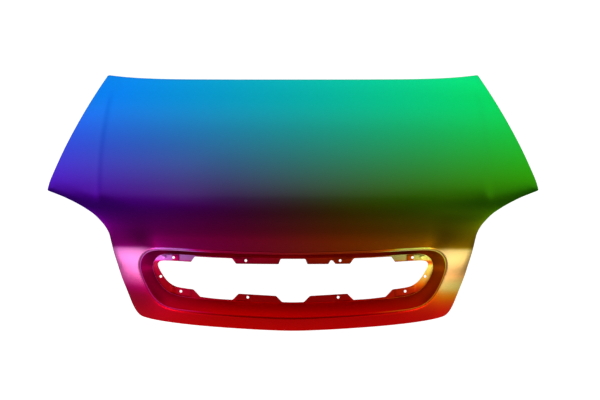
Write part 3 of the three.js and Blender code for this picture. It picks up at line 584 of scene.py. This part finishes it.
def inner_frame(materials):
    s = Sheet()
    top = SKIN_T + HEM_GAP
    e3, e4 = outline_at(27.0), outline_at(35.0)
    ctrl = [on_land(2.4, -top), on_land(13.6, -top), on_land(17.5, -top - 4), P(e3, beam(e3[:, 1])), P(e4, beam(e4[:, 1]))]
    edge = s.rings(filleted(ctrl, [1.6, 2.0, 5.0], 4))
    q0 = offset(rim2, -10.5)
    q = [q0, offset(rim2, -4.5), rim2 + (foot2 - rim2) * 0.4, foot2 + (rim2 - foot2) * 0.06, foot2 + unit(foot2 - rim2) * 1.4]
    d = [beam(q[0][:, 1]) + 6 * (1 - smooth(0, 22, 6.0)), beam(q[1][:, 1]) + 6, 51.0, RECESS + 2.1, RECESS + 2.1]
    rim = s.rings(filleted([P(a, b) for a, b in zip(q, d)], [4.0, 3.5, 1.5], 4))
    holes2, rings = [q0], [rim[0]]
    for pts, r, both in CUTS:
        l = rounded_polygon(lay(pts)[::-1], r * SCALE, step=7.0, arcs=14)
        if area(l) < 0:
            l = l[::-1]
        l = resample(l, int(arc(l, True)[-1] / 7.0), True)
        for k in ((l, mirrored(l)) if both else (l,)):
            l1, l2, l3 = offset(k, -13.0), offset(k, -25.0), offset(k, -31.0)
            depth = SKIN_T + MASTIC_GAP
            ctrl = [P(l3, CHANNEL), P(l2, CHANNEL), P(l1, depth), P(offset(k, -1.5), depth), P(k, depth + 1.6)]
            c = s.rings(filleted(ctrl, [5.5, 4.0, 1.2], 5))
            holes2.append(l3)
            rings.append(c[0])
    for side in (1, -1):
        c, x, y, n, uv = pad_frame(side)
        rect = lambda w, h, r: rounded_polygon(np.array([(-w / 2, -h / 2), (w / 2, -h / 2), (w / 2, h / 2), (-w / 2, h / 2)]), r, step=7.0, arcs=8)
        n_st = 96
        inner = resample(rect(PAD_SIZE[0], PAD_SIZE[1], 12), n_st, True)
        outer = resample(rect(PAD_SIZE[0] + 14, PAD_SIZE[1] + 14, 20), n_st, True)
        far = resample(rect(PAD_SIZE[0] + 24, PAD_SIZE[1] + 24, 25), n_st, True)
        place = lambda p: c + p[:, :1] * x + p[:, 1:] * y
        lay_out = lambda p: uv + p * np.array([0.97, 0.86])
        ctrl = [P(lay_out(far), CHANNEL), P(lay_out(outer), CHANNEL), place(inner), place(inner * np.array([0.9, 0.82]))]
        r = s.rings(filleted(ctrl, [4.0, 3.0], 4))
        bolts = [circle(b, 0, BOLT_R, 28) for b in PAD_HOLES]
        rb = [s.ring(place(b)) for b in bolts]
        last = inner * np.array([0.9, 0.82])
        grid = hex_grid(last.min(0), last.max(0), 4.0)
        keep = inside(grid, last) & (clear_of(grid, last) > 1.5)
        for b in PAD_HOLES:
            keep &= np.hypot(grid[:, 0] - b, grid[:, 1]) > BOLT_R + 1.2
        s.region([last, *bolts], [r[-1], *rb], grid[keep], place)
        holes2.append(lay_out(far))
        rings.append(r[0])
    grid = hex_grid(e4.min(0), e4.max(0), 5.2)
    keep = inside(grid, e4)
    for h in holes2:
        keep &= ~inside(grid, h)
    grid = grid[keep]
    keep = clear_of(grid, e4) > 2.6
    for h in holes2:
        keep &= clear_of(grid, h) > 2.6
    grid = grid[keep]
    rd = clear_of(grid, offset(rim2, -4.5))
    s.region([e4, *holes2], [edge[-1], *rings], grid, lambda uv: P(uv, floor_depth(uv, rd)))
    return s.build("bonnet_frame", FRAME_T, materials)


# ---------------------------------------------------------------- light levels
CEIL, CEIL_FRONT, CEIL_SOFT, DARK, AHEAD = 0.78, 0.15, 0.13, 0.11, 0.42

# ---------------------------------------------------------------- materials
def material(name):
    m = bpy.data.materials.new(name)
    m.use_nodes = True
    return m, m.node_tree, m.node_tree.nodes["Principled BSDF"]


def node(t, kind, **kw):
    n = t.nodes.new(kind)
    for k, v in kw.items():
        setattr(n, k, v)
    return n


def math_node(t, op, a, b=None, clamp=False):
    n = node(t, "ShaderNodeMath", operation=op, use_clamp=clamp)
    for i, x in enumerate((a, b)):
        if x is None:
            continue
        if isinstance(x, (int, float)):
            n.inputs[i].default_value = x
        else:
            t.links.new(x, n.inputs[i])
    return n.outputs[0]


def remap(t, x, a, b, c, d, kind="SMOOTHSTEP"):
    """x from a..b to c..d, clamped."""
    n = node(t, "ShaderNodeMapRange", interpolation_type=kind)
    if a > b:
        a, b, c, d = b, a, d, c
    for k, v in zip(("From Min", "From Max", "To Min", "To Max"), (a, b, c, d)):
        n.inputs[k].default_value = v
    t.links.new(x, n.inputs["Value"])
    return n.outputs[0]


def tint_field(t):
    """Paint colour over the panel: x across and w down the drafting plane, both in layout units."""
    co = node(t, "ShaderNodeTexCoord").outputs["Object"]
    sep = node(t, "ShaderNodeSeparateXYZ")
    t.links.new(co, sep.inputs[0])
    x = math_node(t, "MULTIPLY", sep.outputs[0], 1000 / SCALE)
    dot = node(t, "ShaderNodeVectorMath", operation="DOT_PRODUCT")
    t.links.new(co, dot.inputs[0])
    dot.inputs[1].default_value = (0, SIN, COS)
    off = (SHIFT[1] * SIN + SHIFT[2] * COS) / SCALE
    w = math_node(t, "SUBTRACT", MID_Y - off, math_node(t, "MULTIPLY", dot.outputs["Value"], 1000 / SCALE))
    return co, x, w


def curve(t, x, lo, hi, points, scale):
    """A smooth function of x through a few points: x from lo to hi, values up to scale."""
    mr = node(t, "ShaderNodeMapRange")
    mr.inputs["From Min"].default_value, mr.inputs["From Max"].default_value = lo, hi
    t.links.new(x, mr.inputs["Value"])
    fc = node(t, "ShaderNodeFloatCurve")
    c = fc.mapping.curves[0]
    pts = [((p - lo) / (hi - lo), v / scale) for p, v in points]
    c.points[0].location, c.points[1].location = pts[0], pts[-1]
    for p in pts[1:-1]:
        c.points.new(*p)
    fc.mapping.update()
    t.links.new(mr.outputs[0], fc.inputs["Value"])
    return math_node(t, "MULTIPLY", fc.outputs[0], scale)


# grey part of the paint's value down the panel, which is painted light and shade (light at the top, a dark band, a
# lighter lip), and the light's own falloff that it is divided by (0-255, display values)
SHADED_GREY = [(70, 117), (88, 116), (104, 119), (130, 107), (160, 90), (182, 73), (194, 56), (203, 39), (212, 36), (222, 41), (240, 48), (250, 54), (335, 48)]
LIGHT = [(70, 242), (165, 240), (182, 230), (190, 216), (196, 194), (202, 161), (208, 134), (214, 120), (222, 113), (231, 112), (240, 101), (250, 106),
         (268, 160), (290, 205), (335, 205)]
# the same two at the steep ends beside the grille, where the grey also holds a painted highlight
END_HIGHLIGHT_GREY = [(70, 117), (88, 116), (104, 119), (130, 107), (160, 90), (182, 73), (194, 56), (203, 39), (212, 37), (222, 41), (230, 50),
            (240, 58), (246, 82), (251, 218), (256, 227), (268, 228), (277, 221), (286, 180), (296, 98), (308, 52), (320, 46), (335, 48)]
END_LIGHT = [(70, 242), (165, 240), (182, 230), (190, 216), (196, 194), (202, 161), (208, 134), (214, 122), (222, 125), (230, 158), (240, 232),
             (246, 322), (251, 412), (256, 420), (268, 420), (277, 350), (286, 292), (296, 262), (308, 230), (320, 205), (335, 205)]


def product(t, *factors):
    out = factors[0]
    for f in factors[1:]:
        out = math_node(t, "MULTIPLY", out, f)
    return out


def flange_light_and_shade(t, co, x, ax, w):
    """Painted highlight: the flange's upper corner tabs are lighter but for the step round each screw hole, and so is
    its left end (+X); painted shade: its right end (-X) is darker low down.
    """
    tab = product(t, remap(t, ax, 97, 101, 0, 1), remap(t, w, 261, 263, 1, 0))
    step = product(t, remap(t, ax, 115.6, 116.4, 0, 1), remap(t, ax, 122.6, 123.4, 1, 0))
    end = product(t, remap(t, x, 116, 122, 0, 1), remap(t, w, 264, 268, 0, 1), remap(t, w, 280, 294, 1, 0))
    right_end_shade = product(t, remap(t, x, -122, -116, 1, 0), remap(t, w, 261, 264, 0, 1))
    tab = product(t, tab, math_node(t, "SUBTRACT", 1.0, step))
    more = math_node(t, "ADD", product(t, tab, 88 / 255), product(t, end, 90 / 255))
    return math_node(t, "SUBTRACT", more, product(t, right_end_shade, 30 / 255)), math_node(t, "ADD", 1.0, product(t, tab, 0.25))


def rim_shade_and_highlight(t, ax, w, above, below):
    """Painted shade: darker by above along the middle of the opening's upper rim; painted highlight: lighter by below
    along its lower rim.
    """
    upper = product(t, remap(t, w, 262, 275, 1, 0), remap(t, ax, 70, 105, 1, 0), above)
    lower = product(t, remap(t, w, 290, 300, 0, 1), remap(t, ax, 60, 120, 1, 0), below)
    return math_node(t, "ADD", 1.0, math_node(t, "SUBTRACT", upper, lower))


def crest_light_and_shade(t, co, x, ax, w):
    """Painted highlight: the crest is lighter towards both ends; it also takes the rim's painted shade and highlight.
    """
    return product(t, remap(t, ax, 70, 114, 0, 1), 78 / 255), rim_shade_and_highlight(t, ax, w, 0.33, 0.2)


def radius_light_and_shade(t, co, x, ax, w):
    # painted shade along the upper rim's middle and painted highlight along the lower rim, with nothing added to the
    # grey
    return 0.0, rim_shade_and_highlight(t, ax, w, 0.4, 0.35)


def panel_light_and_shade(t, co, x, ax, w):
    """Painted light and shade: the lower corner on the left (+X) is lighter, a painted highlight, and so is the foot of
    both sides, painted light; the swage line on the right is a little darker, painted shade, with a faint painted light
    just outside it.
    """
    corner = product(t, remap(t, x, 105, 150, 0, 1), remap(t, w, 282, 292, 0, 1), remap(t, w, 300, 320, 1, 0), 30 / 255)
    axes = []
    for i, way in enumerate(((0, -COS, SIN), (0, SIN, COS))):  # above the drafting plane, and up along it, in mm
        dot = node(t, "ShaderNodeVectorMath", operation="DOT_PRODUCT")
        t.links.new(co, dot.inputs[0])
        dot.inputs[1].default_value = way
        axes.append(math_node(t, "ADD", math_node(t, "MULTIPLY", dot.outputs["Value"], 1000.0), float(np.dot(SHIFT, way))))
    k = math_node(t, "SUBTRACT", 1.0, math_node(t, "DIVIDE", axes[0], EYE))
    u, v = math_node(t, "DIVIDE", math_node(t, "MULTIPLY", ax, SCALE), k), math_node(t, "DIVIDE", axes[1], k)
    a = math_node(t, "SUBTRACT", v, SWAGE["v0"])
    off = math_node(t, "DIVIDE", math_node(t, "SUBTRACT", u, math_node(t, "SUBTRACT", SWAGE["u0"], product(t, a, a, SWAGE["bow"]))), SCALE)
    along = product(t, remap(t, w, 78, 100, 0, 1), remap(t, w, 186, 200, 1, 0))
    right = remap(t, x, -10, 10, 1, 0)
    # painted shade along the swage line on the right, and a faint painted light just outside it
    line = product(t, remap(t, off, -7.4, -2.6, 0, 1), remap(t, off, -2.6, 1.6, 1, 0), right, 8 / 255)
    outer = product(t, remap(t, off, -2, 3, 0, 1), right, 2 / 255)
    side = math_node(t, "ADD", product(t, remap(t, w, 140, 165, 0, 1), 4.5 / 255), product(t, remap(t, w, 183, 195, 0, 1), 5 / 255))
    side = product(t, side, remap(t, x, -120, -60, 1, 0), remap(t, w, 199, 210, 1, 0))
    foot = product(t, remap(t, x, 110, 170, 0, 1), remap(t, w, 190, 200, 0, 1), remap(t, w, 211, 220, 1, 0), 9 / 255)
    more = math_node(t, "ADD", math_node(t, "ADD", corner, side), foot)
    return math_node(t, "ADD", more, product(t, along, math_node(t, "SUBTRACT", outer, line))), None


def rim_light_and_shade(t, co, x, ax, w):
    """The panel's paint just outside the opening: its two upper ends are lighter, a painted highlight, over the panel's
    own painted light and shade and the rim's.
    """
    ends = product(t, remap(t, ax, 92, 116, 0, 1), remap(t, ax, 136, 150, 1, 0), remap(t, w, 262, 275, 1, 0), 58 / 255)
    return math_node(t, "ADD", panel_light_and_shade(t, co, x, ax, w)[0], ends), rim_shade_and_highlight(t, ax, w, 0.45, 0.38)


# paint: the print's tint on a grey that holds the panel's painted light and shade, divided by the scene light's own
# falloff
def paint(name, rough, gain, extra=None, no_end_highlight=False, centre_gain=None, edge=None, coat=0.07):
    m, t, b = material(name)
    co, x, w = tint_field(t)
    ax = math_node(t, "ABSOLUTE", x)
    p = math_node(t, "MULTIPLY", math_node(t, "SUBTRACT", w, 197.0), 1.66 / 255)
    q = math_node(t, "MULTIPLY", x, 0.6 / 255)
    base = math_node(t, "MULTIPLY", curve(t, w, 60, 340, SHADED_GREY, 160.0), 1 / 255)
    light = math_node(t, "MULTIPLY", curve(t, w, 60, 340, LIGHT, 400.0), 1 / 255)
    # painted highlight at the steep ends beside the grille: there the grey and the light it is divided by follow the
    # end curves, so the paint is lighter and paler where the side lamps' highlight falls
    if not no_end_highlight:
        ends = remap(t, math_node(t, "SUBTRACT", ax, remap(t, w, 240, 250, 3, 0)), 134, 156, 0, 1)
        we = math_node(t, "SUBTRACT", w, product(t, x, 0.025, remap(t, w, 255, 268, 0, 1)))
        we = math_node(t, "SUBTRACT", we, product(t, math_node(t, "ADD", x, ax), 0.006, remap(t, w, 250, 258, 1, 0)))
        mix = lambda v, e: math_node(t, "ADD", math_node(t, "MULTIPLY", v, math_node(t, "SUBTRACT", 1.0, ends)), math_node(t, "MULTIPLY", e, ends))
        base = mix(base, math_node(t, "MULTIPLY", curve(t, we, 60, 340, END_HIGHLIGHT_GREY, 300.0), 1 / 255))
        light = mix(light, math_node(t, "MULTIPLY", curve(t, we, 60, 340, END_LIGHT, 500.0), 1 / 255))
        # painted highlight: lower down at the ends, lighter at +X and a little darker at -X
        light = product(t, light, math_node(t, "SUBTRACT", 1.0, product(t, math_node(t, "ADD", x, 60.0), 0.0008, remap(t, w, 270, 280, 0, 1), ends)))
    # painted light: a little lighter towards -X and darker towards +X, below the rear edge
    side_light = math_node(t, "SUBTRACT", math_node(t, "MULTIPLY", ax, 0.01 / 255), math_node(t, "MULTIPLY", x, 0.04 / 255))
    base = math_node(t, "ADD", base, product(t, side_light, remap(t, w, 60, 94, 0, 1)))
    # each piece's own painted light and shade: a lighter grey, and a factor on the light that it is divided by
    if extra:
        more, painted_shading = extra(t, co, x, ax, w)
        base = math_node(t, "ADD", base, more)
        if painted_shading:
            light = product(t, light, painted_shading)
    r = math_node(t, "ADD", math_node(t, "MULTIPLY", p, 2 / 3), base)
    gb = math_node(t, "SUBTRACT", base, math_node(t, "MULTIPLY", p, 1 / 3))
    half = math_node(t, "MULTIPLY", q, 0.5)
    g, bl = math_node(t, "ADD", gb, half), math_node(t, "SUBTRACT", gb, half)
    # metal flake: small cells, each a little lighter or darker and glossier or duller than the next
    cells = node(t, "ShaderNodeTexVoronoi")
    cells.inputs["Scale"].default_value = 900
    t.links.new(co, cells.inputs["Vector"])
    grey = node(t, "ShaderNodeSeparateColor")
    t.links.new(cells.outputs["Color"], grey.inputs[0])
    flake = grey.outputs[0]
    grain = math_node(t, "ADD", 0.94, product(t, flake, 0.12))
    # painted shade in the recess: darker towards the ends and much darker along the middle of the upper wall, a little
    # lighter low down towards the ends
    if centre_gain:
        top = product(t, remap(t, w, 255, 262, 1, 0), remap(t, ax, 118, 134, 1, 0.1), 0.65)
        foot = product(t, remap(t, w, 266, 278, 0, 1), remap(t, ax, 60, 130, 0, 1), 0.2)
        gain = math_node(t, "ADD", product(t, remap(t, ax, 60, 130, centre_gain, gain), math_node(t, "SUBTRACT", 1.0, top)), foot)
    comb = node(t, "ShaderNodeCombineColor")
    for i, c in enumerate((r, g, bl)):
        c = math_node(t, "MAXIMUM", c, 0.004)
        c = math_node(t, "DIVIDE", c, light)
        c = math_node(t, "MINIMUM", math_node(t, "POWER", c, 2.2), 0.95)
        t.links.new(product(t, c, gain, grain), comb.inputs[i])
    t.links.new(comb.outputs[0], b.inputs["Base Color"])
    b.inputs["Metallic"].default_value = 1.0
    b.inputs["Coat Weight"].default_value = coat
    b.inputs["Coat Roughness"].default_value = 0.1
    # the recess paints' dark edge tint dims their grazing reflection, part of the recess's painted shade
    if edge:
        b.inputs["Specular Tint"].default_value = edge + (1,)
    t.links.new(math_node(t, "ADD", rough - 0.02, product(t, flake, 0.04)), b.inputs["Roughness"])
    peel = node(t, "ShaderNodeTexNoise")
    peel.inputs["Scale"].default_value = 230
    peel.inputs["Detail"].default_value = 1
    t.links.new(co, peel.inputs["Vector"])
    bump = node(t, "ShaderNodeBump")
    bump.inputs["Strength"].default_value = 0.25
    bump.inputs["Distance"].default_value = 0.00003
    t.links.new(peel.outputs["Fac"], bump.inputs["Height"])
    t.links.new(bump.outputs[0], b.inputs["Normal"])
    return m


# every paint carries the painted light and shade down the panel; the recess walls' and radii's lower gain is painted
# shade in the recess
skin_paint = paint("skin_paint", 0.24, 1.0, panel_light_and_shade)
wall_paint = paint("skin_paint_recess", 0.42, 0.5, no_end_highlight=True, centre_gain=0.95, edge=(0.3, 0.1, 0.1), coat=0.0)
flange_paint = paint("skin_paint_flange", 0.36, 1.0, flange_light_and_shade, no_end_highlight=True)
crest_paint = paint("skin_paint_crests", 0.6, 1.0, crest_light_and_shade, no_end_highlight=True)
radius_paint = paint("skin_paint_radii", 0.7, 0.8, radius_light_and_shade, no_end_highlight=True, centre_gain=0.9, edge=(0.5, 0.3, 0.3), coat=0.0)
rim_paint = paint("skin_paint_rim", 0.24, 1.0, rim_light_and_shade)
frame_paint = paint("frame_paint", 0.5, 0.8, no_end_highlight=True)


def plain(name, colour, metal, rough, scale=300.0, amount=0.15, bump=0.1):
    m, t, b = material(name)
    co = node(t, "ShaderNodeTexCoord").outputs["Object"]
    noise = node(t, "ShaderNodeTexNoise")
    noise.inputs["Scale"].default_value = scale
    noise.inputs["Detail"].default_value = 6
    t.links.new(co, noise.inputs["Vector"])
    ramp = node(t, "ShaderNodeValToRGB")
    ramp.color_ramp.elements[0].color = tuple(c * (1 - amount) for c in colour) + (1,)
    ramp.color_ramp.elements[1].color = tuple(min(1, c * (1 + amount)) for c in colour) + (1,)
    ramp.color_ramp.elements[0].position, ramp.color_ramp.elements[1].position = 0.35, 0.65
    t.links.new(noise.outputs["Fac"], ramp.inputs[0])
    t.links.new(ramp.outputs[0], b.inputs["Base Color"])
    t.links.new(math_node(t, "ADD", rough - 0.08, math_node(t, "MULTIPLY", noise.outputs["Fac"], 0.16)), b.inputs["Roughness"])
    bp = node(t, "ShaderNodeBump")
    bp.inputs["Strength"].default_value = bump
    bp.inputs["Distance"].default_value = 0.0004
    t.links.new(noise.outputs["Fac"], bp.inputs["Height"])
    t.links.new(bp.outputs[0], b.inputs["Normal"])
    b.inputs["Metallic"].default_value = metal
    return m


zinc = plain("zinc_steel", (0.62, 0.63, 0.64), 0.95, 0.36)
nut_steel = plain("nut_steel", (0.5, 0.5, 0.5), 0.9, 0.42)
mastic = plain("mastic", (0.035, 0.032, 0.03), 0.0, 0.8, 120.0, 0.3, 0.5)

# ---------------------------------------------------------------- pieces
skin = outer_skin([skin_paint, wall_paint, flange_paint, crest_paint, radius_paint, rim_paint])
inner = inner_frame([frame_paint])
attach(skin, "root")
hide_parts("outer_skin")
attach(inner, "root")
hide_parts("inner_frame")
for name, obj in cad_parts.items():
    if name in ("outer_skin", "inner_frame"):
        continue
    mat = mastic if name.startswith("mastic") else nut_steel if "nut" in name else zinc
    if not obj.material_slots:
        continue
    for s in obj.material_slots:
        s.material = mat

# ---------------------------------------------------------------- floor, light, camera
FLOOR_Z = -1.7
floor_mesh = bpy.data.meshes.new("floor")
floor_mesh.from_pydata([(-40, -40, FLOOR_Z), (40, -40, FLOOR_Z), (40, 40, FLOOR_Z), (-40, 40, FLOOR_Z)], [], [(0, 1, 2, 3)])
floor = bpy.data.objects.new("floor", floor_mesh)
bpy.context.collection.objects.link(floor)
fm, ft, fb = material("floor_white")
fb.inputs["Base Color"].default_value = (0.86, 0.86, 0.86, 1)
fb.inputs["Roughness"].default_value = 0.9
fb.inputs["Specular IOR Level"].default_value = 0.1
fb.inputs["Emission Color"].default_value = (1, 1, 1, 1)
fs = node(ft, "ShaderNodeSeparateXYZ")
ft.links.new(node(ft, "ShaderNodeTexCoord").outputs["Object"], fs.inputs[0])
# the floor glows, a painted light: strongly behind the object and only faintly under and in front of it
ft.links.new(remap(ft, fs.outputs[1], -0.3, 0.46, 0.04, 0.66), fb.inputs["Emission Strength"])
floor_mesh.materials.append(fm)

# studio: a large soft ceiling that ends in front of the panel and runs forward at both sides, dark in front and behind,
# pale along the horizon
scene = bpy.context.scene
world = bpy.data.worlds.new("studio")
scene.world = world
world.use_nodes = True
wt = world.node_tree
bg = wt.nodes["Background"]
ws = node(wt, "ShaderNodeSeparateXYZ")
wt.links.new(node(wt, "ShaderNodeTexCoord").outputs["Generated"], ws.inputs[0])
dx, dy, dz = ws.outputs
up = math_node(wt, "MAXIMUM", dz, 0.03)
sx, sy = math_node(wt, "DIVIDE", dx, up), math_node(wt, "DIVIDE", dy, up)
tx = math_node(wt, "SQRT", math_node(wt, "ADD", math_node(wt, "MULTIPLY", sx, sx), 0.01))
front = math_node(wt, "ADD", math_node(wt, "ADD", sy, CEIL_FRONT), math_node(wt, "ADD", math_node(wt, "MULTIPLY", tx, 0.46), math_node(wt, "MULTIPLY", sx, -0.03)))
for way, much in ((-1, 0.7), (1, 0.2)):
    wing = math_node(wt, "MAXIMUM", math_node(wt, "SUBTRACT", math_node(wt, "MULTIPLY", sx, way), 1.25), 0.0)
    front = math_node(wt, "SUBTRACT", front, math_node(wt, "MINIMUM", math_node(wt, "MULTIPLY", wing, much), 0.24))
ceil = math_node(wt, "MULTIPLY", remap(wt, front, -CEIL_SOFT, CEIL_SOFT, 0, 1), remap(wt, sy, 0.5, 0.9, 1, 0))
ceil = math_node(wt, "MULTIPLY", ceil, remap(wt, dz, 0.22, 0.36, 0, 1))
ceil = math_node(wt, "MULTIPLY", ceil, math_node(wt, "ADD", math_node(wt, "MULTIPLY", dx, -0.13), CEIL))
sides = math_node(wt, "MULTIPLY", remap(wt, dy, -0.32, -0.08, 0, 1), remap(wt, dz, 0.06, 0.24, 0.6, 0))
ahead = math_node(wt, "MULTIPLY", remap(wt, dy, -0.82, -0.70, 1, 0), remap(wt, dz, 0.05, 0.16, AHEAD, 0))
total = math_node(wt, "ADD", math_node(wt, "ADD", ceil, sides), math_node(wt, "ADD", ahead, DARK))
wt.links.new(total, bg.inputs[1])
bg.inputs[0].default_value = (1, 1, 1, 1)
scene.view_settings.view_transform = "Standard"
scene.view_settings.look = "None"


def area_light(name, pos, target, size, radiance):
    d = bpy.data.lights.new(name, "AREA")
    d.shape = "RECTANGLE"
    d.size, d.size_y = size
    d.energy = radiance * math.pi * size[0] * size[1]
    o = bpy.data.objects.new(name, d)
    o.location = pos
    o.rotation_euler = (Vector(target) - Vector(pos)).to_track_quat("-Z", "Y").to_euler()
    bpy.context.collection.objects.link(o)
    return o


def side_panel(side, az, el, tilt, wide, tall, dist, radiance):
    """A panel seen from the flank at an azimuth from -Y and an elevation, turned in its own plane; angles in degrees."""
    a, e = math.radians(az), math.radians(el)
    at = Vector((side * 0.46, -0.45, -0.30))
    out = Vector((side * math.sin(a) * math.cos(e), -math.cos(a) * math.cos(e), math.sin(e)))
    size = (2 * dist * math.tan(math.radians(wide / 2)), 2 * dist * math.tan(math.radians(tall / 2)))
    o = area_light("panel_" + ("left" if side > 0 else "right"), at + out * dist, at, size, radiance)
    z = -out  # the way that it shines
    right = Vector((0, 0, 1)).cross(out).normalized()  # towards growing azimuth on the +X side, seen from the flank
    up = out.cross(right)
    t = math.radians(tilt)
    x = right * math.cos(t) * side + up * math.sin(t)
    zz = -z
    y = zz.cross(x)
    m = Matrix((x, y, zz)).transposed().to_4x4()
    m.translation = at + out * dist
    o.matrix_world = m
    return o


for s in (1, -1):
    side_panel(s, 50.5, -6.0, -48.0, 20.0, 12.0, 2.3, 4.0)

# the camera looks along the drafting plane's normal, from its eye point
eye = (np.array([0, -EYE * COS, EYE * SIN]) - SHIFT) * 0.001
cam_data = bpy.data.cameras.new("camera")
cam_data.sensor_width = 36
cam_data.lens = 36 * (EYE / SCALE) / 600  # one layout unit is one pixel of a 600-wide frame
cam = bpy.data.objects.new("camera", cam_data)
cam.location = eye
cam.rotation_euler = (math.pi / 2 - TILT, 0, 0)
cam_data.shift_x = (300 - 293.0) / 600
cam_data.clip_end = 100
bpy.context.collection.objects.link(cam)
scene.camera = cam
